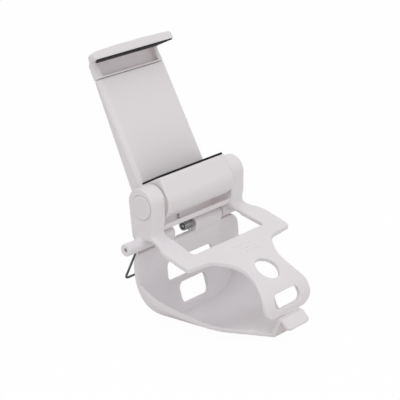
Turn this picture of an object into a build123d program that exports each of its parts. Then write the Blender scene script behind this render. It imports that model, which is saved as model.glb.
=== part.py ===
from build123d import *
import math
import os

# Clip that snaps round a game controller and holds a phone above it.
# X runs to the right, Y to the back, Z up. The origin lies under the middle of the cradle floor.

# Tilt axis of the clamp arm
tilt_y = 32.0
tilt_z = 65.0
arm_lean = 30.5

# Cradle hinge
pin_back = 1.8
pin_drop = 20.5
pin_r = 1.0
pin_fit = 0.05
barrel_r = 3.3
barrel_left_reach = 10.0
barrel_right_reach = 6.0
knuckle_r = 3.0
knuckle_gap = 0.4
spring_gap_left = -11.5
spring_gap_right = 4.8
pin_inset = 0.5

# Top plate of the upper frame
plate_t = 2.4
plate_slope = 15.0
plate_rear_y = 36.0
plate_ref_y = 25.0
plate_ref_z = 50.4
crown_start_y = -8.0
crown_end_y = -30.0
crown_end_slope = 40.0
curtain_y = -35.5
curtain_bottom_z = 15.8
curtain_top_z = 33.0
curtain_corner_r = 7.5
curtain_half = 18.3
wing_root_step = 0.4
wing_root_y = 25.4
wing_waist_y = 19.5
wing_elbow_y = 13.6
wing_side_y = 7.0
wing_tip_y = -1.5
wing_front_step = 1.9
wing_front_half = 26.6
well_mouth_x = 19.2
well_mouth_y = -8.8
well_waist_x = 13.9
well_waist_y = -19.2
well_foot_x = 17.0
well_foot_y = -30.4
plan_front_y = -39.0

# Openings of the upper frame
pad_rear_y = 22.4
bridge_y = 25.2
pad_front_y = 4.0
pad_front_half = 28.2
pad_corner_r = 2.5
home_y = -21.2
home_r = 6.7
slot_half = 9.9
slot_top_z = 27.2
slot_bottom_z = 19.4
slot_corner_r = 3.2
dot_r = 0.5
dot_depth = 0.7
dot_pitch_x = 3.1
dot_pitch_y = 2.9
dot_lift = 1.0
dot_columns = 5
dot_rows = 3
dot_centre_x = 2.5
dot_centre_y = -5.4

# Posts and bracket
post_width = 10.0
post_front = 7.2
post_top_r = 8.0
post_top_y = 0.8
post_top_z = 1.8
post_rear_foot = 6.2
post_bottom = 17.2
sill_front = 6.9
sill_depth = 2.6
sill_top = 11.1
sill_height = 2.7
back_wall_y = 5.2
back_wall_t = 2.2
back_wall_top = 12.5
back_wall_bottom = 17.9

# Tilt hinge hardware
bolt_r = 2.0
bolt_fit = 0.05
bolt_head_r = 3.5
bolt_head_h = 3.6
pocket_r = 5.0
pocket_depth = 4.8
cap_r = 6.3
cap_fit = 0.05
cap_rim_t = 1.4
cap_proud = 0.5
cap_skirt_t = 0.8
cap_skirt_len = 0.9
nut_flats = 7.0
nut_h = 2.6
washer_r = 3.8
washer_t = 0.8
disc_r = 8.0
disc_t = 0.45

# Lower shell
shell_t = 2.2
wall_top_z = 40.8
wall_top_back = 0.8
wall_straight_z = 20.0
wall_lean = 6.6
wall_curve_r = 50.0
belly_rise = 4.2
belly_bed_r = 150.0
belly_bed_turn = 6.0
belly_flank_r = 26.0
belly_flank_slope = 62.0
belly_rear_y = 20.0
belly_run = 30.0
shell_half = 40.2
shell_corner_r = 6.5
wall_low_x = 35.2
wall_low_z = 12.5
wall_side_z = 30.0
heel_half = 32.6
heel_y = 12.0
heel_z = 8.0
rim_top_y = 33.0
rim_high_x = 36.4
rim_high_y = 25.6
rim_mid_x = 27.6
rim_mid_y = -2.0
tongue_half = 8.8
tongue_y = -33.6
lip_top_y = -37.2
lip_top_z = 14.9
lip_lean = 20.0
lip_run = 40.0
tab_reach = 6.8
tab_slope = 39.0
tab_half = 8.6
tab_t = 2.0
tab_corner_r = 2.4
upper_window_half = 17.7
upper_window_top = 29.8
upper_window_bottom = 18.7
lower_window_half = 10.4
lower_window_top = 16.1
lower_window_bottom = 4.9
window_corner_r = 3.4

# Wire parts
bail_wire_r = 0.6
bail_angle = 25.0
bail_length = 24.0
bail_corner_r = 2.4
bail_eye_play = 0.08
bail_slot_side = 0.3
bail_slot_r = 2.6
spring_wire_r = 0.42
spring_mean_r = 1.95
spring_pitch = 0.95
spring_start_x = -2.8
spring_turns = 7
spring_leg_down = 11.5
spring_leg_front = 1.5
spring_leg_up = 6.2
spring_leg_back = 0.9

# Clamp arm, measured behind the tilt axis (depth) and along the arm (height)
arm_front = 5.2
arm_thick_foot = 12.4
arm_thick_top = 4.8
arm_back_r = 5.0
arm_bevel_width = 2.1
arm_half = 25.2
arm_play = 0.35
arm_bevel_depth = 1.7
arm_wall = 1.3
arm_top = 68.9
arm_foot = 2.0
cover_t = 1.3
cover_corner_r = 3.0
hub_r = 9.2
jaw_top = 10.7
jaw_round = 1.2
pad_t = 1.0
lower_pad_edge = 0.8
lower_pad_inset = 0.7
cavity_bottom = 10.5
arm_side_wall = 1.9
stop_length = 12.0

# Sliding upper jaw
slide_travel = 24.0
slide_play = 0.3
tongue_channel = 1.7
tongue_t = 1.4
tongue_bottom = 20.0
ear_play = 0.4
ear_height = 6.0
stop_slot_half = 3.0
boss_r = 2.6
boss_height = 58.0
spring_x = 12.0
spring_slot_half = 2.7
hook_height = 48.0
hood_under = 77.7
hood_top = 82.6
hood_shoulder_r = 2.8
hood_rise = 0.7
hood_overhang = 4.2
hood_side_draw = 1.4
hood_side_depth = 2.6
hood_rear_draw = 5.2
hood_rear_depth = 6.8
recess_foot = 1.1
recess_back = 1.4
hood_reach = 3.2
cheek_wall = 4.3
cheek_flare = 0.2
upper_pad_edge = 1.2
upper_pad_draw = 5.6
upper_pad_back = 4.6
upper_pad_front = 2.8
upper_pad_seat = 0.5
pad_seam = 0.3

# Pull springs and screws of the arm
pull_wire_r = 0.35
pull_mean_r = 1.5
pull_bottom = 15.6
pull_pitch = 0.95
spring_play = 0.2
anchor_r = 1.3
screw_r = 1.2
screw_fit = 0.03
screw_head_r = 2.3
screw_head_h = 1.0
screw_reach = 3.0
screw_side_inset = 6.2
screw_side_height = 13.6

# Values that follow from the sizes above
post_inner = arm_half + disc_t + arm_play
post_outer = post_inner + post_width
pad_rear_half = post_inner
wing_root_x = post_outer + wing_root_step
wing_tip_x = shell_half
barrel_left_end = post_outer + barrel_left_reach
barrel_right_end = post_outer + barrel_right_reach
pocket_floor = post_outer - pocket_depth
bail_half = post_outer
arm_flat_half = arm_half - arm_bevel_width
jaw_half = arm_half
lower_pad_half = jaw_half - lower_pad_edge
cavity_half = arm_half - arm_side_wall
tongue_half_width = cavity_half - tongue_channel
ear_half = cavity_half - ear_play
hood_half = arm_half + hood_overhang
hood_side_x = hood_half - hood_side_draw
hood_rear_x = hood_half - hood_rear_draw
cheek_inner = arm_half - cheek_wall
cheek_top_half = arm_half + cheek_flare
upper_pad_half = hood_half - upper_pad_edge
upper_pad_rear_half = upper_pad_half - upper_pad_draw
screw_side_x = arm_half - screw_side_inset
pin_y = tilt_y + pin_back
pin_z = tilt_z - pin_drop
lean = math.radians(arm_lean)
slope = math.radians(plate_slope)
end_slope = math.radians(crown_end_slope)
arm_back = arm_front + arm_thick_foot
taper = math.atan((arm_thick_foot - arm_thick_top) / arm_top)
head_back = arm_front + arm_thick_top
cavity_front = arm_front + arm_wall
tongue_front = cavity_front + slide_play
spring_depth = cavity_front + pull_mean_r + pull_wire_r + spring_play
pin_axis = Plane(origin=(0, pin_y, pin_z), x_dir=(0, 1, 0), z_dir=(1, 0, 0))
tilt_side = Plane(origin=(0, tilt_y, tilt_z), x_dir=(0, 1, 0), z_dir=(1, 0, 0))
arm_side = Plane(
    origin=(0, tilt_y, tilt_z),
    x_dir=(0, math.cos(lean), -math.sin(lean)),
    z_dir=(1, 0, 0),
)


screw_places = ((-screw_side_x, screw_side_height), (screw_side_x, screw_side_height), (0, boss_height))


def on_arm(x=0.0, depth=0.0, height=0.0):
    """Point given across, behind and along the arm."""
    return arm_side.from_local_coords((depth, height, x))


def arm_face(depth):
    """Plane parallel to the arm's front, facing forward, with Y along the arm."""
    return Plane(origin=on_arm(depth=depth), x_dir=(1, 0, 0), z_dir=-arm_side.x_dir)


def arm_section(height):
    """Plane across the arm, facing along it, with Y towards the back."""
    return Plane(origin=on_arm(height=height), x_dir=(1, 0, 0), z_dir=arm_side.y_dir)


def rear_face(inset):
    """Plane parallel to the arm's tapered back, facing forward, with Y along the arm."""
    forward = -arm_side.x_dir * math.cos(taper) - arm_side.y_dir * math.sin(taper)
    return Plane(origin=on_arm(depth=arm_back) + forward * inset, x_dir=(1, 0, 0), z_dir=forward)


def side_at(plane, x):
    """Copy of a side plane moved to the given X."""
    return plane.offset(x)


def plate_z(y):
    """Height of the flat stretch of the top plate."""
    return plate_ref_z + (y - plate_ref_y) * math.tan(slope)


def drum(plane, x_from, x_to, radius, mode=Mode.ADD):
    """Cylinder along X about a side plane's origin."""
    with BuildSketch(side_at(plane, x_from), mode=Mode.PRIVATE) as ring:
        Circle(radius)
    extrude(ring.sketch, amount=x_to - x_from, mode=mode)


# Upper frame
def plate_strip():
    """Section of the top plate: flat rear, rounded crown and the front curtain."""
    crown_r = (crown_start_y - crown_end_y) / (math.sin(end_slope) - math.sin(slope))
    brow_r = (crown_end_y - curtain_y) / (1 - math.sin(end_slope))
    with BuildSketch(Plane.YZ) as strip:
        with BuildLine():
            flat = Line((plate_rear_y, plate_z(plate_rear_y)), (crown_start_y, plate_z(crown_start_y)))
            crown = JernArc(flat @ 1, flat % 1, crown_r, crown_end_slope - plate_slope)
            brow = JernArc(crown @ 1, crown % 1, brow_r, 90 - crown_end_slope)
            Line(brow @ 1, (curtain_y, curtain_bottom_z))
            offset(amount=plate_t, side=Side.LEFT)
        make_face()
    return strip.sketch


def plate_outline():
    """Plan of the top plate, with its wings and the two wells for the thumb sticks."""
    with BuildSketch(Plane.XY) as plan:
        with BuildLine():
            side = Spline(
                (wing_root_x, wing_root_y), (wing_tip_x - 2.6, wing_waist_y), (wing_tip_x - 0.2, wing_elbow_y),
                (wing_tip_x + 0.1, wing_side_y), (wing_tip_x, wing_tip_y),
                tangents=[(0.1, -1), (-0.1, -1)],
            )
            Polyline((0, bridge_y), (post_inner, bridge_y), (post_inner, plate_rear_y + 1))
            Polyline((post_inner, plate_rear_y + 1), (post_outer, plate_rear_y + 1))
            Polyline((post_outer, plate_rear_y + 1), (post_outer, wing_root_y), side @ 0)
            front_y = wing_tip_y - wing_front_step
            front = Line((wing_tip_x - 1.4, front_y), (wing_front_half, front_y - 1.0))
            ThreePointArc(side @ 1, (wing_tip_x - 0.3, front_y + 0.6), front @ 0)
            well = Spline(
                front @ 1, (well_mouth_x, well_mouth_y), (well_waist_x, well_waist_y),
                (well_foot_x, well_foot_y), (curtain_half, plan_front_y),
                tangents=[(-1, -0.1), (0.05, -1)],
            )
            Polyline(well @ 1, (0, plan_front_y), (0, bridge_y))
        make_face()
        mirror(about=Plane.YZ)
    return plan.sketch


def curtain_outline():
    """Front view of the plate, with the lower corners of the curtain rounded."""
    wide = shell_half + 10
    high = tilt_z + 5
    with BuildSketch(Plane.XZ.offset(60)) as front:
        with BuildLine():
            Polyline(
                (-wide, high), (-wide, curtain_top_z), (-curtain_half, curtain_top_z),
                (-curtain_half, curtain_bottom_z), (curtain_half, curtain_bottom_z),
                (curtain_half, curtain_top_z), (wide, curtain_top_z), (wide, high), close=True,
            )
        make_face()
        low = front.vertices().group_by(Axis.Y)[0]
        fillet(low, curtain_corner_r)
    return front.sketch


def home_plane():
    """Plane on the plate at the home-button hole, square to the surface."""
    crown_r = (crown_start_y - crown_end_y) / (math.sin(end_slope) - math.sin(slope))
    turn = math.asin(math.sin(slope) + (crown_start_y - home_y) / crown_r)
    z = plate_z(crown_start_y) - crown_r * (math.cos(slope) - math.cos(turn))
    return Plane(origin=(0, home_y, z), x_dir=(1, 0, 0), z_dir=(0, -math.sin(turn), math.cos(turn)))


with BuildPart() as upper_frame:
    # Top plate, from its section and its plan
    extrude(plate_strip(), amount=50, both=True)
    extrude(plate_outline(), amount=80, mode=Mode.INTERSECT)
    extrude(curtain_outline(), amount=-110, mode=Mode.INTERSECT)

    # Posts with round tops, standing on the plate and on the barrels
    for side in (-1, 1):
        with BuildSketch(side_at(tilt_side, side * post_inner)):
            with BuildLine():
                front_top = (-post_front, post_top_z)
                rear_top = (post_top_y + post_top_r, post_top_z)
                RadiusArc(rear_top, front_top, -post_top_r)
                Polyline(
                    front_top, (-post_front, -post_bottom), (post_rear_foot, -post_bottom - 2.0), rear_top
                )
            make_face()
        extrude(amount=side * (post_outer - post_inner))

    # Sill at the front and wall at the back of the bracket
    with BuildSketch(tilt_side):
        with Locations((-sill_front + sill_depth / 2, -sill_top - sill_height / 2)):
            RectangleRounded(sill_depth, sill_height, 0.8)
        with Locations((back_wall_y + back_wall_t / 2, -(back_wall_top + back_wall_bottom) / 2)):
            Rectangle(back_wall_t, back_wall_bottom - back_wall_top)
    extrude(amount=post_inner + 0.5, both=True)

    # Hinge barrels under the posts
    inner_end = post_inner + knuckle_gap
    drum(pin_axis, -barrel_left_end, -inner_end, barrel_r)
    drum(pin_axis, inner_end, barrel_right_end, barrel_r)
    for side in (-1, 1):
        drum(pin_axis, side * (bail_half - bail_wire_r - bail_slot_side),
             side * (bail_half + bail_wire_r + bail_slot_side), bail_slot_r, mode=Mode.SUBTRACT)
        with BuildSketch(side_at(pin_axis, side * (bail_half - bail_wire_r - bail_slot_side))):
            with BuildLine():
                Polyline((-1.2, -6), (8, -6), (8, 4.2), (0.2, 1.4), (-1.2, -1.2), close=True)
            make_face()
        extrude(amount=side * 2 * (bail_wire_r + bail_slot_side), mode=Mode.SUBTRACT)
    drum(pin_axis, -60, 60, pin_r + pin_fit, mode=Mode.SUBTRACT)

    # Opening over the touch pad
    with BuildSketch(Plane.XY) as pad_opening:
        with BuildLine():
            Polyline(
                (-post_inner, bridge_y + 1), (post_inner, bridge_y + 1), (pad_rear_half, pad_rear_y),
                (pad_front_half, pad_front_y), (-pad_front_half, pad_front_y),
                (-pad_rear_half, pad_rear_y), close=True,
            )
        make_face()
        fillet(pad_opening.vertices().group_by(Axis.Y)[0], pad_corner_r)
    extrude(amount=60, mode=Mode.SUBTRACT)

    # Home-button hole, port slot and speaker dots
    with BuildSketch(home_plane().offset(4)):
        Circle(home_r)
    extrude(amount=-10, mode=Mode.SUBTRACT)
    with BuildSketch(Plane.XZ.offset(-curtain_y + 4)):
        with Locations((0, (slot_top_z + slot_bottom_z) / 2)):
            RectangleRounded(2 * slot_half, slot_top_z - slot_bottom_z, slot_corner_r)
    extrude(amount=-12, mode=Mode.SUBTRACT)
    dots = Plane(
        origin=(dot_centre_x, dot_centre_y, plate_z(dot_centre_y) + dot_lift),
        x_dir=(1, 0, 0),
        z_dir=(0, -math.sin(slope), math.cos(slope)),
    )
    with BuildSketch(dots):
        with GridLocations(dot_pitch_x, dot_pitch_y, dot_columns, dot_rows):
            Circle(dot_r)
    extrude(amount=-dot_depth - dot_lift, mode=Mode.SUBTRACT)

    # Bolt bore, head and nut pockets and the seats of the round caps
    drum(tilt_side, -60, 60, bolt_r + bolt_fit, mode=Mode.SUBTRACT)
    for side in (-1, 1):
        drum(tilt_side, side * pocket_floor, side * 60, pocket_r, mode=Mode.SUBTRACT)
        drum(tilt_side, side * (post_outer + cap_proud - cap_rim_t), side * 60, cap_r + cap_fit,
             mode=Mode.SUBTRACT)
upper_frame.part.label = "upper_frame"


# Lower shell
def belly(inset, margin):
    """Solid whose back, floor and front are the shell's faces moved in by inset."""
    arc_r = wall_curve_r - inset
    with BuildPart() as solid:
        with BuildSketch(Plane.YZ):
            with BuildLine():
                lean_dir = Vector(-math.sin(math.radians(wall_lean)), -math.cos(math.radians(wall_lean)))
                top = Vector(pin_y + wall_top_back, wall_top_z) + Vector(-inset, 0)
                straight = (wall_top_z - wall_straight_z) / math.cos(math.radians(wall_lean))
                start = top - lean_dir * margin
                wall = Line(start, top + lean_dir * straight)
                curve = JernArc(wall @ 1, wall % 1, arc_r, -34)
                under = Line(curve @ 1, curve @ 1 + (curve % 1) * 20)
                lip = math.radians(lip_lean)
                lip_dir = Vector(-math.sin(lip), math.cos(lip))
                lip_top = Vector(lip_top_y + inset / math.cos(lip), lip_top_z)
                lip_low = lip_top - lip_dir * lip_run
                Polyline(under @ 1, (lip_low.X, lip_low.Y), (lip_top + lip_dir * margin), start)
            make_face()
        extrude(amount=shell_half + 4 + margin, both=True)
        rise = math.radians(belly_rise)
        rear_end = Plane(
            origin=(0, belly_rear_y + belly_run * math.cos(rise), -belly_run * math.sin(rise)),
            x_dir=(1, 0, 0),
            z_dir=(0, -math.cos(rise), math.sin(rise)),
        )
        with BuildSketch(rear_end) as section:
            with BuildLine():
                bed = JernArc((0, 0), (1, 0), belly_bed_r, belly_bed_turn)
                flank = JernArc(bed @ 1, bed % 1, belly_flank_r, belly_flank_slope - belly_bed_turn)
                side = Line(flank @ 1, flank @ 1 + (flank % 1) * 60)
                Polyline(side @ 1, (0, (side @ 1).Y))
                mirror(about=Plane.YZ)
            make_face()
            if inset > 0:
                offset(amount=-inset, kind=Kind.INTERSECTION, mode=Mode.REPLACE)
        extrude(amount=130, mode=Mode.INTERSECT)
    return solid.part


def rim_outline():
    """Plan of the lower shell, wide at the hinge and narrow at the front lip."""
    with BuildSketch(Plane.XY.offset(-5)) as plan:
        with BuildLine():
            Polyline((0, -60), (0, 50), (shell_half + 1, 50), (shell_half + 1, rim_top_y))
            rim = Spline(
                (shell_half + 1, rim_top_y), (rim_high_x, rim_high_y), (heel_half, heel_y),
                (rim_mid_x, rim_mid_y), (tongue_half, tongue_y),
                tangents=[(-0.3, -1), (-0.4, -1)],
            )
            Polyline(rim @ 1, (tongue_half, -60), (0, -60))
        make_face()
        mirror(about=Plane.YZ)
    return plan.sketch


with BuildPart() as lower_shell:
    add(belly(0, 0))
    add(belly(shell_t, 6), mode=Mode.SUBTRACT)
    extrude(rim_outline(), amount=90, mode=Mode.INTERSECT)

    # Rear view: rounded upper corners, sides drawn in towards the floor
    with BuildSketch(Plane.XZ.offset(-60)) as rear_view:
        with BuildLine():
            Polyline((0, -5), (heel_half - 3, -5), (heel_half - 3, heel_z - 4), (heel_half, heel_z))
            flank = Spline(
                (heel_half, heel_z), (wall_low_x, wall_low_z), (shell_half, wall_side_z),
                tangents=[(0.6, 1), (0, 1)],
            )
            corner = (shell_half, wall_top_z)
            Polyline(flank @ 1, corner, (0, wall_top_z))
            Line((0, wall_top_z), (0, -5))
        make_face()
        mirror(about=Plane.YZ)
        top_row = rear_view.vertices().group_by(Axis.Y)[-1].sort_by(Axis.X)
        fillet([top_row[0], top_row[-1]], shell_corner_r)
    extrude(amount=120, mode=Mode.INTERSECT)

    # Knuckles on the pin, with webs down to the wall
    for near, far in ((-post_inner, spring_gap_left), (spring_gap_right, post_inner)):
        drum(pin_axis, near, far, knuckle_r)
        with BuildSketch(side_at(pin_axis, near)):
            with BuildLine():
                wall_y = wall_top_back
                Polyline(
                    (wall_y - shell_t - 0.3, -6.0), (wall_y, -6.0), (wall_y + 1.3, -1.6),
                    (wall_y - shell_t - 1.3, -1.6), close=True,
                )
            make_face()
        extrude(amount=far - near)
    drum(pin_axis, -60, 60, pin_r + pin_fit, mode=Mode.SUBTRACT)

    # Windows in the rear wall
    with BuildSketch(Plane.XZ.offset(-60)):
        with Locations((0, (upper_window_top + upper_window_bottom) / 2)):
            RectangleRounded(2 * upper_window_half, upper_window_top - upper_window_bottom, window_corner_r)
        with Locations((0, (lower_window_top + lower_window_bottom) / 2)):
            RectangleRounded(2 * lower_window_half, lower_window_top - lower_window_bottom, window_corner_r)
    extrude(amount=45, mode=Mode.SUBTRACT)

    # Finger tab on the front lip
    fall = math.radians(tab_slope)
    tab_plane = Plane(
        origin=(0, lip_top_y - 0.4, lip_top_z + 0.6),
        x_dir=(1, 0, 0),
        z_dir=(0, -math.sin(fall), math.cos(fall)),
    )
    with BuildSketch(tab_plane) as tab:
        with Locations((0, -tab_reach / 2)):
            Rectangle(2 * tab_half, tab_reach)
        fillet(tab.vertices().group_by(Axis.Y)[0], tab_corner_r)
    extrude(amount=-tab_t)
lower_shell.part.label = "lower_shell"


# Steel pins of the cradle hinge, one from each side
def hinge_pin(inner, outer):
    """Short pin along the hinge axis with chamfered ends."""
    with BuildPart() as rod:
        drum(pin_axis, inner, outer, pin_r)
        chamfer(rod.edges().filter_by(GeomType.CIRCLE), 0.3)
    return rod.part


left_hinge_pin = hinge_pin(spring_gap_left - pin_inset, pin_inset - barrel_left_end)
left_hinge_pin.label = "left_hinge_pin"
right_hinge_pin = hinge_pin(spring_start_x, barrel_right_end - pin_inset)
right_hinge_pin.label = "right_hinge_pin"


# Closing spring on the right pin: one leg up to the frame, one down behind the shell
def straight_wire(start, end, radius):
    """Straight run of round wire between two points."""
    with BuildSketch(Plane(origin=start, z_dir=end - start), mode=Mode.PRIVATE) as round_end:
        Circle(radius)
    extrude(round_end.sketch, amount=(end - start).length)


with BuildPart() as closing_spring:
    coil_length = spring_pitch * spring_turns
    coil = Helix(spring_pitch, coil_length, spring_mean_r, direction=(1, 0, 0), lefthand=True)
    start_turn = math.degrees(math.atan2((coil @ 0).Z, (coil @ 0).Y))
    coil = coil.rotate(Axis.X, -start_turn).moved(Location((spring_start_x, pin_y, pin_z)))
    with BuildSketch(Plane(origin=coil @ 0, z_dir=coil % 0)):
        Circle(spring_wire_r)
    sweep(path=coil, is_frenet=True)
    up_end = coil @ 0 + Vector(0, spring_leg_back, spring_leg_up)
    straight_wire(coil @ 0, up_end, spring_wire_r)
    straight_wire(coil @ 1, coil @ 1 - Vector(0, spring_leg_front, spring_leg_down), spring_wire_r)
closing_spring.part.label = "closing_spring"


# Wire bail hanging on the pin
with BuildPart() as wire_bail:
    drop_angle = math.radians(bail_angle)
    down = Vector(0, math.sin(drop_angle), -math.cos(drop_angle))
    eye_r = pin_r + bail_eye_play + bail_wire_r
    pin_point = Vector(0, pin_y, pin_z)
    left = Vector(-bail_half, 0, 0)
    right = Vector(bail_half, 0, 0)
    with BuildLine() as bend:
        FilletPolyline(
            pin_point + left + down * eye_r, pin_point + left + down * bail_length,
            pin_point + right + down * bail_length, pin_point + right + down * eye_r,
            radius=bail_corner_r,
        )
    with BuildSketch(Plane(origin=bend.line @ 0, z_dir=bend.line % 0)):
        Circle(bail_wire_r)
    sweep()
    for side in (-1, 1):
        with BuildSketch(Plane(origin=(side * bail_half, pin_y, pin_z), x_dir=(0, 1, 0), z_dir=(0, 0, 1))):
            with Locations((eye_r, 0)):
                Circle(bail_wire_r)
        revolve(axis=Axis((side * bail_half, pin_y, pin_z), (1, 0, 0)), revolution_arc=360)
wire_bail.part.label = "wire_bail"


# Round caps over the tilt bolt
def hinge_cap(side):
    """Plug with a flat rim and a short skirt that presses into the post."""
    outer = post_outer + cap_proud
    with BuildPart() as cap:
        drum(tilt_side, side * (outer - cap_rim_t), side * outer, cap_r)
        rim = cap.edges().filter_by(GeomType.CIRCLE).sort_by(Axis.X)
        fillet(rim[-1] if side > 0 else rim[0], 0.45)
        skirt_end = outer - cap_rim_t - cap_skirt_len
        drum(tilt_side, side * skirt_end, side * (outer - cap_rim_t), pocket_r)
        drum(tilt_side, side * skirt_end, side * (outer - cap_rim_t), pocket_r - cap_skirt_t,
             mode=Mode.SUBTRACT)
    return cap.part


left_cap = hinge_cap(-1)
left_cap.label = "left_cap"
right_cap = hinge_cap(1)
right_cap.label = "right_cap"


# Tilt bolt, its washer and nut, and the friction discs
with BuildPart() as tilt_bolt:
    nut_inner = pocket_floor + washer_t
    drum(tilt_side, -pocket_floor - bolt_head_h + 1.0, -pocket_floor, bolt_head_r)
    drum(tilt_side, -pocket_floor, nut_inner + nut_h, bolt_r)
    with BuildSketch(side_at(tilt_side, -pocket_floor - bolt_head_h + 1.0)):
        RegularPolygon(1.7, 6, major_radius=False)
    extrude(amount=1.6, mode=Mode.SUBTRACT)
tilt_bolt.part.label = "tilt_bolt"

with BuildPart() as tilt_nut:
    with BuildSketch(side_at(tilt_side, nut_inner)):
        RegularPolygon(nut_flats / 2, 6, major_radius=False)
        Circle(bolt_r + bolt_fit / 2, mode=Mode.SUBTRACT)
    extrude(amount=nut_h)
tilt_nut.part.label = "tilt_nut"

with BuildPart() as spring_washer:
    with BuildSketch(side_at(tilt_side, pocket_floor)):
        Circle(washer_r)
        Circle(bolt_r + bolt_fit, mode=Mode.SUBTRACT)
        with Locations((washer_r, 0)):
            Rectangle(2 * washer_r - 2 * bolt_r, 0.7, mode=Mode.SUBTRACT)
    extrude(amount=washer_t)
spring_washer.part.label = "spring_washer"


def friction_disc(side):
    """Thin ring between a post and the arm's hub."""
    with BuildPart() as disc:
        with BuildSketch(side_at(tilt_side, side * post_inner)):
            Circle(disc_r)
            Circle(bolt_r + bolt_fit, mode=Mode.SUBTRACT)
        extrude(amount=-side * disc_t)
    return disc.part


left_friction_disc = friction_disc(-1)
left_friction_disc.label = "left_friction_disc"
right_friction_disc = friction_disc(1)
right_friction_disc.label = "right_friction_disc"


# Clamp arm
def arm_outline(height, thick):
    """Section of the arm at a height: bevelled front edges and well rounded back edges."""
    with BuildSketch(arm_section(height)) as section:
        with BuildLine():
            Polyline(
                (0, arm_front), (arm_flat_half, arm_front), (arm_half, arm_front + arm_bevel_depth),
                (arm_half, arm_front + thick), (0, arm_front + thick), (0, arm_front),
            )
        make_face()
        mirror(about=Plane.YZ)
        back_row = section.vertices().group_by(Axis.Y)[-1].sort_by(Axis.X)
        fillet([back_row[0], back_row[-1]], min(arm_back_r, thick - arm_bevel_depth - 0.1))
    return section.sketch


def arm_body():
    """Outer form of the arm, thick at the foot and thin at the top."""
    with BuildPart() as body:
        foot_thick = arm_thick_foot - arm_foot * math.tan(taper)
        loft([arm_outline(arm_foot, foot_thick), arm_outline(arm_top, arm_thick_top)])
    return body.part


# Front half of the arm with the fixed lower jaw
with BuildPart() as arm_shell:
    add(arm_body())
    with BuildSketch(arm_side) as jaw:
        Circle(hub_r)
        with BuildLine():
            Polyline((-hub_r, 0), (-hub_r, jaw_top), (arm_front + 2, jaw_top), (arm_back, arm_foot),
                     (hub_r, 0), close=True)
        make_face()
        fillet(jaw.vertices().sort_by_distance((-hub_r, jaw_top, 0))[0], jaw_round)
    extrude(amount=jaw_half, both=True)

    # Cavity for the sliding tongue and the springs, open at the back and the top
    with BuildSketch(arm_face(cavity_front)):
        with Locations((0, (cavity_bottom + arm_top + 4) / 2)):
            Rectangle(2 * cavity_half, arm_top + 4 - cavity_bottom)
    extrude(amount=-arm_back, mode=Mode.SUBTRACT)

    # Bosses for the screws, anchors for the springs and end stops of the slide
    with BuildSketch(arm_face(cavity_front)):
        with Locations(*screw_places):
            Circle(boss_r)
        with Locations((-spring_x, pull_bottom - anchor_r), (spring_x, pull_bottom - anchor_r)):
            Circle(anchor_r)
        channel = cavity_half - tongue_half_width - slide_play
        for side in (-1, 1):
            with Locations((side * (cavity_half - channel / 2), arm_top - stop_length / 2)):
                Rectangle(channel, stop_length)
    extrude(amount=-arm_thick_foot)

    # Back cut to the taper of the cover, then the screw holes
    with BuildSketch(rear_face(cover_t)):
        with Locations((0, arm_top / 2)):
            Rectangle(4 * arm_half, 2 * arm_top)
    extrude(amount=-2 * arm_thick_foot, mode=Mode.SUBTRACT)
    with BuildSketch(rear_face(cover_t)):
        with Locations(*screw_places):
            Circle(screw_r + screw_fit)
    extrude(amount=screw_reach + 0.2, mode=Mode.SUBTRACT)

    # Bore of the tilt bolt
    drum(tilt_side, -60, 60, bolt_r + bolt_fit, mode=Mode.SUBTRACT)
arm_shell.part.label = "arm_shell"


# Rear half of the clamp arm
with BuildPart() as arm_cover:
    with BuildSketch(rear_face(0)) as back:
        with Locations((0, (arm_foot + arm_top) / 2)):
            Rectangle(2 * arm_half, arm_top - arm_foot)
        fillet(back.vertices().group_by(Axis.Y)[0], cover_corner_r)
    extrude(amount=cover_t)
    add(arm_body(), mode=Mode.INTERSECT)
    with BuildSketch(rear_face(0)):
        with Locations(*screw_places):
            Circle(screw_r + 0.2)
    extrude(amount=cover_t, mode=Mode.SUBTRACT)
    with BuildSketch(rear_face(0)):
        with Locations(*screw_places):
            Circle(screw_head_r + 0.1)
    extrude(amount=screw_head_h, mode=Mode.SUBTRACT)
arm_cover.part.label = "arm_cover"


# Screws of the rear cover
with BuildPart() as arm_screws:
    with BuildSketch(rear_face(0.05)):
        with Locations(*screw_places):
            Circle(screw_head_r)
    extrude(amount=screw_head_h - 0.05)
    with BuildSketch(rear_face(screw_head_h)):
        with Locations(*screw_places):
            Circle(screw_r)
    extrude(amount=cover_t - screw_head_h + screw_reach)
    with BuildSketch(rear_face(0)):
        with Locations(*screw_places):
            Rectangle(2.6, 0.6)
            Rectangle(0.6, 2.6)
    extrude(amount=0.7, mode=Mode.SUBTRACT)
arm_screws.part.label = "arm_screws"


# Sliding upper jaw: tongue, cheeks and hood
def upper_pad_outline():
    """Shape of the rubber pad under the hood, in its seat."""
    with BuildSketch(arm_section(hood_under + upper_pad_seat)) as outline:
        with BuildLine():
            Polyline(
                (-upper_pad_half, -upper_pad_front), (upper_pad_half, -upper_pad_front),
                (upper_pad_rear_half, upper_pad_back), (-upper_pad_rear_half, upper_pad_back), close=True,
            )
        make_face()
    return outline.sketch


recess_low = arm_top + slide_play + recess_foot
recess_floor = head_back - recess_back


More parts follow.
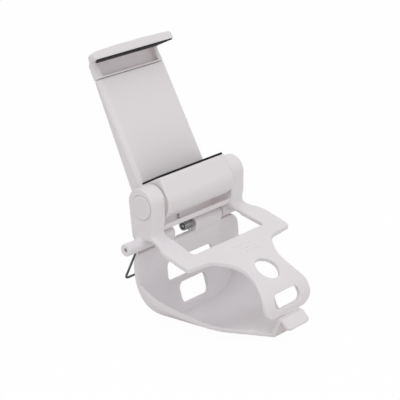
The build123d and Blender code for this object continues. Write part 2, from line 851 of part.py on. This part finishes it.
def cheek_body():
    """Outer form between the arm's top and the hood, flaring a little."""
    with BuildPart() as body:
        with BuildSketch(arm_face(arm_front)):
            with BuildLine():
                low = arm_top + slide_play
                high = hood_under + 0.5
                Polyline((0, low), (arm_half, low), (cheek_top_half, high), (0, high), (0, low))
            make_face()
            mirror(about=Plane.YZ)
        extrude(amount=-arm_thick_top)
        with BuildSketch(arm_section(arm_top)):
            with BuildLine():
                edge = cheek_top_half
                corner = ThreePointArc(
                    (edge, head_back - 2.8), (edge - 0.9, head_back - 0.9), (edge - 3.4, head_back)
                )
                Polyline(corner @ 1, (0, head_back), (0, arm_front), (arm_flat_half, arm_front))
                Polyline((arm_flat_half, arm_front), (edge, arm_front + arm_bevel_depth), corner @ 0)
            make_face()
            mirror(about=Plane.YZ)
        extrude(amount=hood_top, mode=Mode.INTERSECT)
    return body.part


with BuildPart() as upper_jaw:
    # Tongue with its ears, the stop slot and two slots for the springs
    with BuildSketch(arm_face(tongue_front)):
        with Locations((0, (tongue_bottom + hood_under) / 2)):
            Rectangle(2 * tongue_half_width, hood_under - tongue_bottom)
        with Locations((0, tongue_bottom + ear_height / 2)):
            Rectangle(2 * ear_half, ear_height)
        slot_low = boss_height - boss_r - slide_play - slide_travel
        slot_high = boss_height + boss_r + slide_play
        with Locations((0, (slot_low + slot_high) / 2)):
            SlotOverall(slot_high - slot_low, 2 * stop_slot_half, rotation=90, mode=Mode.SUBTRACT)
        for x in (-spring_x, spring_x):
            with Locations((x, (tongue_bottom + hook_height) / 2)):
                Rectangle(2 * spring_slot_half, hook_height - tongue_bottom + 0.01, mode=Mode.SUBTRACT)
    extrude(amount=-tongue_t)

    # Cheeks: a short length of the arm's own section above the arm's top
    add(cheek_body())

    # Hood: crowned front view, cut to a plan that is wide at the front edge
    with BuildPart(mode=Mode.PRIVATE) as hood:
        with BuildSketch(arm_face(-hood_reach)) as front_view:
            with BuildLine():
                shoulder_height = hood_top - hood_rise
                Polyline((0, hood_under), (upper_pad_half + 0.6, hood_under), (hood_half, hood_under + 0.8))
                shoulder = Line((hood_half, hood_under + 0.8), (hood_half, shoulder_height))
                crest_point = (hood_half * 0.55, hood_top - hood_rise / 4)
                crest = ThreePointArc(shoulder @ 1, crest_point, (0, hood_top))
                Line(crest @ 1, (0, hood_under))
            make_face()
            mirror(about=Plane.YZ)
            top_corners = front_view.vertices().group_by(Axis.Y)[-2]
            fillet(top_corners, hood_shoulder_r)
        extrude(amount=-(hood_reach + head_back))
        with BuildSketch(arm_section(hood_under - 1)):
            with BuildLine():
                front = Line((0, -hood_reach), (hood_half - 0.8, -hood_reach))
                side = ThreePointArc(
                    (hood_half, -hood_reach + 0.8), (hood_side_x, hood_side_depth),
                    (hood_rear_x, hood_rear_depth),
                )
                ThreePointArc(front @ 1, (hood_half - 0.25, -hood_reach + 0.25), side @ 0)
                rear = ThreePointArc(
                    side @ 1, (hood_rear_x - 2, head_back - 0.6), (hood_rear_x - 5, head_back)
                )
                Polyline(rear @ 1, (0, head_back), (0, -hood_reach))
            make_face()
            mirror(about=Plane.YZ)
        extrude(amount=hood_top - hood_under + 2, mode=Mode.INTERSECT)
    add(hood.part)

    # Recess between the cheeks, closed at the back and open towards the phone
    with BuildSketch(arm_face(arm_front - 1)):
        with Locations((0, (recess_low + hood_under) / 2)):
            Rectangle(2 * cheek_inner, hood_under - recess_low)
    extrude(amount=-(recess_floor - arm_front + 1), mode=Mode.SUBTRACT)
    extrude(upper_pad_outline(), amount=-upper_pad_seat, mode=Mode.SUBTRACT)
upper_jaw.part.label = "upper_jaw"


# Rubber pads of the two jaws
with BuildPart() as upper_pad:
    extrude(upper_pad_outline(), amount=-pad_t)
upper_pad.part.label = "upper_pad"

with BuildPart() as lower_pad:
    with BuildSketch(arm_section(jaw_top)) as face:
        front_edge = hub_r - lower_pad_inset
        with Locations((0, (arm_front - pad_seam - front_edge) / 2)):
            Rectangle(2 * lower_pad_half, front_edge + arm_front - pad_seam)
    extrude(amount=pad_t)
lower_pad.part.label = "lower_pad"


# Tension springs that pull the upper jaw shut
def pull_spring(x):
    """Helical spring along the arm between its anchor and the tongue."""
    length = hook_height - pull_bottom - 1.0
    turns_length = round(length / pull_pitch) * pull_pitch
    with BuildPart() as spring:
        base = arm_section(pull_bottom + 0.5)
        start = on_arm(x, spring_depth, pull_bottom + 0.5)
        coil = Helix(pull_pitch, turns_length, pull_mean_r, center=start, direction=base.z_dir)
        with BuildSketch(Plane(origin=coil @ 0, z_dir=coil % 0)):
            Circle(pull_wire_r)
        sweep(path=coil, is_frenet=True)
    return spring.part


left_pull_spring = pull_spring(-spring_x)
left_pull_spring.label = "left_pull_spring"
right_pull_spring = pull_spring(spring_x)
right_pull_spring.label = "right_pull_spring"


pieces = [
    upper_frame.part, lower_shell.part, left_hinge_pin, right_hinge_pin, closing_spring.part, wire_bail.part,
    left_cap, right_cap, tilt_bolt.part, tilt_nut.part, spring_washer.part,
    left_friction_disc, right_friction_disc,
    arm_shell.part, arm_cover.part, arm_screws.part, lower_pad.part,
    upper_jaw.part, upper_pad.part, left_pull_spring, right_pull_spring,
]

os.makedirs("parts", exist_ok=True)
for piece in pieces:
    export_step(piece, "parts/" + piece.label + ".step")
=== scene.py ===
import math

import bpy
from mathutils import Matrix, Vector


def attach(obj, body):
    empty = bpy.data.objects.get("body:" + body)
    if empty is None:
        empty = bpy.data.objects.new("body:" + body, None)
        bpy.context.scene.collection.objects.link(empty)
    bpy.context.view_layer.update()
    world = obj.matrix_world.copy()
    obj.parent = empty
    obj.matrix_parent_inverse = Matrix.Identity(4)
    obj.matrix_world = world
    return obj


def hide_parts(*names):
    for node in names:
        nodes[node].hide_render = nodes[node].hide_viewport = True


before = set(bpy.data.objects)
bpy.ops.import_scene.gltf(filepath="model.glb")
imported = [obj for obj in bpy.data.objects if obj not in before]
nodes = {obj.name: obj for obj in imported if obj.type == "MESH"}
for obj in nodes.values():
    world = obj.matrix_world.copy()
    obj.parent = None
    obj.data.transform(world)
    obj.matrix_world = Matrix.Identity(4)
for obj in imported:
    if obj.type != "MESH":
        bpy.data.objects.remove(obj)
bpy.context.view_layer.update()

MM = 0.001
WHITE = (1.0, 1.0, 1.0)


# Shader nodes
BEVEL_SAMPLES = 6
# Ambient occlusion behind the painted shade in hollow places
PAINTED_SHADE_SAMPLES = 8
PAINTED_SHADE_REACH = 20 * MM


def cleared_tree(owner):
    """Emptied node tree of a material or world."""
    owner.use_nodes = True
    owner.node_tree.nodes.clear()
    return owner.node_tree


def add_node(tree, kind, values=None):
    """New shader node with the given values in its inputs."""
    node = tree.nodes.new("ShaderNode" + kind)
    for name, value in (values or {}).items():
        node.inputs[name].default_value = value
    return node


def new_material(name):
    """Material with a principled shader, its node tree and the object's coordinates."""
    mat = bpy.data.materials.new(name)
    tree = cleared_tree(mat)
    out = add_node(tree, "OutputMaterial")
    shader = add_node(tree, "BsdfPrincipled")
    coords = add_node(tree, "TexCoord")
    tree.links.new(shader.outputs["BSDF"], out.inputs["Surface"])
    return mat, tree, shader, coords


def noise(tree, coords, scale, detail, stretch=None):
    """Noise over the object's own metres, stretched where a scale per axis is given."""
    node = add_node(tree, "TexNoise", {"Scale": scale, "Detail": detail})
    source = coords.outputs["Object"]
    if stretch:
        mapping = add_node(tree, "Mapping", {"Scale": stretch})
        tree.links.new(source, mapping.inputs["Vector"])
        source = mapping.outputs["Vector"]
    tree.links.new(source, node.inputs["Vector"])
    return node.outputs["Fac"]


def between(tree, factor, low, high, spread=(0.3, 0.7)):
    """Value from low to high as factor runs over spread, by default the middle of a noise."""
    node = add_node(tree, "MapRange", {
        "From Min": spread[0], "From Max": spread[1], "To Min": low, "To Max": high,
    })
    tree.links.new(factor, node.inputs["Value"])
    return node.outputs["Result"]


def tint(tree, factor, first, second):
    """Colour from first, a colour or a node's output, to the colour second by factor."""
    node = add_node(tree, "Mix")
    node.data_type = "RGBA"
    if isinstance(first, tuple):
        node.inputs["A"].default_value = (*first, 1.0)
    else:
        tree.links.new(first, node.inputs["A"])
    node.inputs["B"].default_value = (*second, 1.0)
    tree.links.new(factor, node.inputs["Factor"])
    return node.outputs["Result"]


def relief(tree, height, depth, normal):
    """Bump of a depth in metres from a height, on top of an earlier normal."""
    node = add_node(tree, "Bump", {"Distance": depth})
    tree.links.new(height, node.inputs["Height"])
    tree.links.new(normal, node.inputs["Normal"])
    return node.outputs["Normal"]


def soft_edges(tree, radius):
    """Normal with the hard edges of the surface rounded."""
    node = add_node(tree, "Bevel", {"Radius": radius})
    node.samples = BEVEL_SAMPLES
    return node.outputs["Normal"]


def worn_edges(tree):
    """Factor that is 1 on rounded-over corners and 0 on flats."""
    geometry = add_node(tree, "NewGeometry")
    return between(tree, geometry.outputs["Pointiness"], 0.0, 1.0, spread=(0.53, 0.6))


def painted_hollow_shade(tree):
    """Painted shade: factor from ambient occlusion that is 1 deep in a hollow, where shade
    falls, and 0 in the open.
    """
    node = add_node(tree, "AmbientOcclusion", {"Distance": PAINTED_SHADE_REACH})
    node.samples = PAINTED_SHADE_SAMPLES
    return between(tree, node.outputs["AO"], 1.0, 0.0, spread=(0.1, 0.6))


def scaled(colour, *factors):
    """Colour with its channels scaled, and kept at 1 or less."""
    return tuple(min(1.0, channel * factor) for channel, factor in zip(colour, factors))


# Materials
def moulded_plastic(name, light, shade, rough, edge_radius):
    """Satin moulded plastic: faint flow marks, fine grain, rubbed edges, and painted warm
    shade deep in hollow places.
    """
    mat, tree, shader, coords = new_material(name)
    flow = noise(tree, coords, scale=28.0, detail=4.0, stretch=(1.0, 0.6, 1.4))
    cloud = noise(tree, coords, scale=9.0, detail=2.0)
    handling = noise(tree, coords, scale=65.0, detail=5.0)
    sink = noise(tree, coords, scale=55.0, detail=1.0)
    grain = noise(tree, coords, scale=2600.0, detail=2.0)
    warmer = scaled(light, 1.01, 0.985, 0.975)
    rubbed = scaled(light, 1.05, 1.05, 1.05)
    # Colour of the painted shade in hollow places
    painted_shade_colour = scaled(light, 0.97, 0.9, 0.87)

    colour = tint(tree, between(tree, flow, 0.0, 1.0), light, shade)
    colour = tint(tree, between(tree, cloud, 0.0, 0.7), colour, warmer)
    colour = tint(tree, worn_edges(tree), colour, rubbed)
    # Painted shade: darker and warmer colour where the surface lies deep in a hollow
    colour = tint(tree, painted_hollow_shade(tree), colour, painted_shade_colour)
    roughness = between(tree, handling, rough - 0.05, rough + 0.08)
    normal = relief(tree, sink, 0.08 * MM, soft_edges(tree, edge_radius))
    normal = relief(tree, grain, 0.01 * MM, normal)

    tree.links.new(colour, shader.inputs["Base Color"])
    tree.links.new(roughness, shader.inputs["Roughness"])
    tree.links.new(normal, shader.inputs["Normal"])
    shader.inputs["IOR"].default_value = 1.49
    shader.inputs["Specular IOR Level"].default_value = 0.42
    shader.inputs["Subsurface Weight"].default_value = 0.08
    shader.inputs["Subsurface Radius"].default_value = (1.0, 0.85, 0.8)
    shader.inputs["Subsurface Scale"].default_value = 1.2 * MM
    shader.inputs["Coat Weight"].default_value = 0.12
    shader.inputs["Coat Roughness"].default_value = 0.22
    return mat


def soft_rubber(name, base, dusty):
    """Matt rubber with a pebbled skin, dusted where it is rubbed."""
    mat, tree, shader, coords = new_material(name)
    patches = noise(tree, coords, scale=120.0, detail=4.0)
    pebbles = add_node(tree, "TexVoronoi", {"Scale": 1500.0})
    tree.links.new(coords.outputs["Object"], pebbles.inputs["Vector"])

    colour = tint(tree, between(tree, patches, 0.0, 1.0, spread=(0.45, 0.8)), base, dusty)
    roughness = between(tree, patches, 0.62, 0.85)
    normal = relief(tree, pebbles.outputs["Distance"], 0.05 * MM, soft_edges(tree, 0.25 * MM))

    tree.links.new(colour, shader.inputs["Base Color"])
    tree.links.new(roughness, shader.inputs["Roughness"])
    tree.links.new(normal, shader.inputs["Normal"])
    shader.inputs["Specular IOR Level"].default_value = 0.18
    shader.inputs["Sheen Weight"].default_value = 0.03
    return mat


def drawn_steel(name, base, bright, rough, stretch):
    """Steel with drawing or grinding lines, dark with oil in places and brighter in others."""
    mat, tree, shader, coords = new_material(name)
    lines = noise(tree, coords, scale=900.0, detail=4.0, stretch=stretch)
    stains = noise(tree, coords, scale=150.0, detail=5.0)

    colour = tint(tree, between(tree, lines, 0.0, 0.6), base, bright)
    stained = between(tree, stains, 0.0, 0.5, spread=(0.5, 0.75))
    oily = scaled(base, 0.7, 0.7, 0.7)
    colour = tint(tree, stained, colour, oily)
    roughness = between(tree, stains, rough - 0.06, rough + 0.12)
    normal = relief(tree, lines, 0.012 * MM, soft_edges(tree, 0.15 * MM))

    tree.links.new(colour, shader.inputs["Base Color"])
    tree.links.new(roughness, shader.inputs["Roughness"])
    tree.links.new(normal, shader.inputs["Normal"])
    shader.inputs["Metallic"].default_value = 1.0
    return mat


# Stretch of the lines in steel: a small share makes them long along that axis
LINES_DOWN = (1.0, 0.2, 0.2)
LINES_ACROSS = (0.1, 1.0, 1.0)
LINES_SHORT = (1.0, 1.0, 1.0)

white = moulded_plastic(
    "white plastic", light=(0.797, 0.782, 0.803), shade=(0.775, 0.759, 0.781),
    rough=0.34, edge_radius=0.55 * MM,
)
white_caps = moulded_plastic(
    "white cap plastic", light=(0.78, 0.766, 0.785), shade=(0.757, 0.743, 0.763),
    rough=0.3, edge_radius=0.3 * MM,
)
fibre = moulded_plastic(
    "fibre disc", light=(0.66, 0.64, 0.58), shade=(0.58, 0.56, 0.5),
    rough=0.6, edge_radius=0.1 * MM,
)
rubber = soft_rubber("black rubber", base=(0.008, 0.008, 0.009), dusty=(0.02, 0.019, 0.018))
wire = drawn_steel(
    "dark spring wire", base=(0.1, 0.1, 0.105), bright=(0.2, 0.2, 0.205),
    rough=0.38, stretch=LINES_DOWN,
)
coil = drawn_steel(
    "bright spring wire", base=(0.3, 0.3, 0.305), bright=(0.46, 0.46, 0.46),
    rough=0.34, stretch=LINES_DOWN,
)
pin = drawn_steel(
    "ground pin steel", base=(0.26, 0.26, 0.265), bright=(0.42, 0.42, 0.42),
    rough=0.3, stretch=LINES_ACROSS,
)
zinc = drawn_steel(
    "zinc steel", base=(0.5, 0.5, 0.51), bright=(0.66, 0.66, 0.65),
    rough=0.33, stretch=LINES_SHORT,
)

finishes = {
    "upper_frame": white, "lower_shell": white,
    "arm_shell": white, "arm_cover": white, "upper_jaw": white,
    "left_cap": white_caps, "right_cap": white_caps,
    "lower_pad": rubber, "upper_pad": rubber,
    "wire_bail": wire, "closing_spring": coil,
    "left_pull_spring": coil, "right_pull_spring": coil,
    "left_hinge_pin": pin, "right_hinge_pin": pin,
    "tilt_bolt": zinc, "tilt_nut": zinc, "spring_washer": zinc, "arm_screws": zinc,
    "left_friction_disc": fibre, "right_friction_disc": fibre,
}
for name, material in finishes.items():
    mesh = nodes[name].data
    mesh.materials.clear()
    mesh.materials.append(material)


# Mouldings with their edges rounded over. The arm leans back by LEAN about the tilt axis
TILT_Y = 32 * MM
TILT_Z = 65 * MM
LEAN = math.radians(30.5)
WELD_GAP = 0.001 * MM
FINE_GRID = 0.3 * MM
COARSE_GRID = 0.35 * MM
EDGE_PASSES = 6
BLEND_PASSES = 160
KEPT_SHARE = 0.35


def rise(value, start, width):
    """0 up to start, then up to 1 over width."""
    return min(1.0, max(0.0, (value - start) / width))


def fall(value, end, width):
    """0 from end on, and up to 1 over the width before it."""
    return min(1.0, max(0.0, (end - value) / width))


def hood_end(point):
    """Share from 0 to 1 of how far a point lies in the rear ends of the jaw's hood."""
    behind_axis = point.y - TILT_Y
    above_axis = point.z - TILT_Z
    along_arm = behind_axis * math.sin(LEAN) + above_axis * math.cos(LEAN)
    behind_arm = behind_axis * math.cos(LEAN) - above_axis * math.sin(LEAN)
    out = rise(abs(point.x), 21.5 * MM, 2 * MM)
    return out * rise(along_arm, 71 * MM, 3 * MM) * rise(behind_arm, -1 * MM, 3 * MM)


def post_foot(point):
    """Share from 0 to 1 of how far a point lies where a post, a side arm and a barrel meet."""
    across = rise(abs(point.x), 24.5 * MM, 2 * MM) * fall(abs(point.x), 42 * MM, 2 * MM)
    back = rise(point.y, 18 * MM, 3 * MM) * fall(point.y, 38 * MM, 2 * MM)
    up = rise(point.z, 45.5 * MM, 1.5 * MM) * fall(point.z, 56 * MM, 3 * MM)
    return across * back * up


def apply_modifiers(piece):
    """Give the piece the mesh that its modifiers make."""
    depsgraph = bpy.context.evaluated_depsgraph_get()
    mesh = bpy.data.meshes.new_from_object(piece.evaluated_get(depsgraph))
    piece.modifiers.clear()
    piece.data = mesh


def smooth(piece, name, passes, group=""):
    """Add a smoothing modifier, kept to a vertex group where one is named."""
    modifier = piece.modifiers.new(name, "SMOOTH")
    modifier.factor = 0.5
    modifier.iterations = passes
    modifier.vertex_group = group


def rounded(name, body, grid, blended=None):
    """Copy of a CAD node with soft edges, which stands for it.

    blended gives a point's share from 0 to 1 of the stronger smoothing.
    """
    source = nodes[name]
    piece = bpy.data.objects.new(name + "_moulding", source.data.copy())
    bpy.context.collection.objects.link(piece)
    piece.matrix_world = source.matrix_world.copy()
    weld = piece.modifiers.new("weld", "WELD")
    weld.merge_threshold = WELD_GAP
    remesh = piece.modifiers.new("remesh", "REMESH")
    remesh.mode = "VOXEL"
    remesh.voxel_size = grid
    smooth(piece, "edges", EDGE_PASSES)
    apply_modifiers(piece)

    if blended:
        group = piece.vertex_groups.new(name="blend")
        for vertex in piece.data.vertices:
            weight = blended(piece.matrix_world @ vertex.co)
            if weight > 0.0:
                group.add([vertex.index], weight, "REPLACE")
        smooth(piece, "blend", BLEND_PASSES, group.name)
    thin = piece.modifiers.new("thin", "DECIMATE")
    thin.ratio = KEPT_SHARE
    apply_modifiers(piece)

    piece.vertex_groups.clear()
    piece.data.shade_smooth()
    piece.data.materials.clear()
    piece.data.materials.append(finishes[name])
    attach(piece, body)
    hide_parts(name)


rounded("upper_frame", "frame", FINE_GRID, post_foot)
rounded("lower_shell", "shell", FINE_GRID)
rounded("arm_shell", "arm", COARSE_GRID)
rounded("arm_cover", "arm", FINE_GRID)
rounded("upper_jaw", "jaw", FINE_GRID, hood_end)


# Floor: plain and pale, and nearly white to the camera, with a little of the shadow left in it
FLOOR_SIZE = 6.0
FLOOR_DROP = 0.5 * MM
FLOOR_GREY = 0.86
FLOOR_GLOW_SHARE = 0.975

bpy.ops.mesh.primitive_plane_add(size=FLOOR_SIZE, location=(0.0, 0.0, -FLOOR_DROP))
floor = bpy.context.object
floor.name = "floor"
floor_mat = bpy.data.materials.new("studio floor")
tree = cleared_tree(floor_mat)
out = add_node(tree, "OutputMaterial")
mix = add_node(tree, "MixShader")
paint = add_node(tree, "BsdfDiffuse", {"Color": (FLOOR_GREY, FLOOR_GREY, FLOOR_GREY, 1.0)})
glow = add_node(tree, "Emission", {"Color": (*WHITE, 1.0), "Strength": 1.0})
path = add_node(tree, "LightPath")
share = add_node(tree, "Math")
share.operation = "MULTIPLY"
share.inputs[1].default_value = FLOOR_GLOW_SHARE
tree.links.new(path.outputs["Is Camera Ray"], share.inputs[0])
tree.links.new(share.outputs["Value"], mix.inputs["Fac"])
tree.links.new(paint.outputs["BSDF"], mix.inputs[1])
tree.links.new(glow.outputs["Emission"], mix.inputs[2])
tree.links.new(mix.outputs["Shader"], out.inputs["Surface"])
floor.data.materials.append(floor_mat)

# World: white where it is seen, mirrored or shone through, soft warm light elsewhere
SKY_STRENGTH = 0.68
SKY_COLOUR = (1.0, 0.965, 0.95)


def either(tree, first, second):
    """The larger of two outputs."""
    node = add_node(tree, "Math")
    node.operation = "MAXIMUM"
    tree.links.new(first, node.inputs[0])
    tree.links.new(second, node.inputs[1])
    return node.outputs["Value"]


world = bpy.data.worlds.new("studio")
bpy.context.scene.world = world
tree = cleared_tree(world)
out = add_node(tree, "OutputWorld")
sky = add_node(tree, "Background")
path = add_node(tree, "LightPath")
mirrored = either(tree, path.outputs["Is Glossy Ray"], path.outputs["Is Transmission Ray"])
seen = either(tree, path.outputs["Is Camera Ray"], mirrored)
level = between(tree, seen, SKY_STRENGTH, 1.0, spread=(0.0, 1.0))
tree.links.new(tint(tree, seen, SKY_COLOUR, WHITE), sky.inputs["Color"])
tree.links.new(level, sky.inputs["Strength"])
tree.links.new(sky.outputs["Background"], out.inputs["Surface"])

# Lamps
DAYLIGHT = (0.93, 0.967, 1.0)
AIM = Vector((0.0, 20 * MM, 60 * MM))


def area_lamp(name, place, power, size):
    """Soft square lamp aimed at the middle of the object."""
    data = bpy.data.lights.new(name, "AREA")
    data.energy = power
    data.size = size
    data.color = DAYLIGHT
    lamp = bpy.data.objects.new(name, data)
    bpy.context.collection.objects.link(lamp)
    lamp.location = place
    lamp.rotation_euler = (AIM - Vector(place)).to_track_quat("-Z", "Y").to_euler()


area_lamp("front", place=(-0.45, -0.85, 0.55), power=1.0, size=0.9)
area_lamp("top", place=(-0.25, 0.1, 1.0), power=2.0, size=0.5)
area_lamp("edge", place=(0.15, -0.95, 0.62), power=0.6, size=0.15)

# Camera at the photo's place and angle
SENSOR_WIDTH = 36.0
FOCAL_LENGTH = 136.4
CAMERA_PLACE = (-0.55045, -0.45597, 0.34242)

camera_data = bpy.data.cameras.new("camera")
camera_data.sensor_width = SENSOR_WIDTH
camera_data.lens = FOCAL_LENGTH
camera = bpy.data.objects.new("camera", camera_data)
bpy.context.collection.objects.link(camera)
ahead = Vector((0.70315, 0.61345, -0.35952)).normalized()
up = Vector((0.65851, -0.75256, 0.0038)).normalized().cross(ahead).normalized()
right = ahead.cross(up).normalized()
axes = Matrix((right, up, -ahead)).transposed()
camera.matrix_world = Matrix.Translation(CAMERA_PLACE) @ axes.to_4x4()
bpy.context.scene.camera = camera
bpy.context.scene.view_settings.view_transform = "Standard"
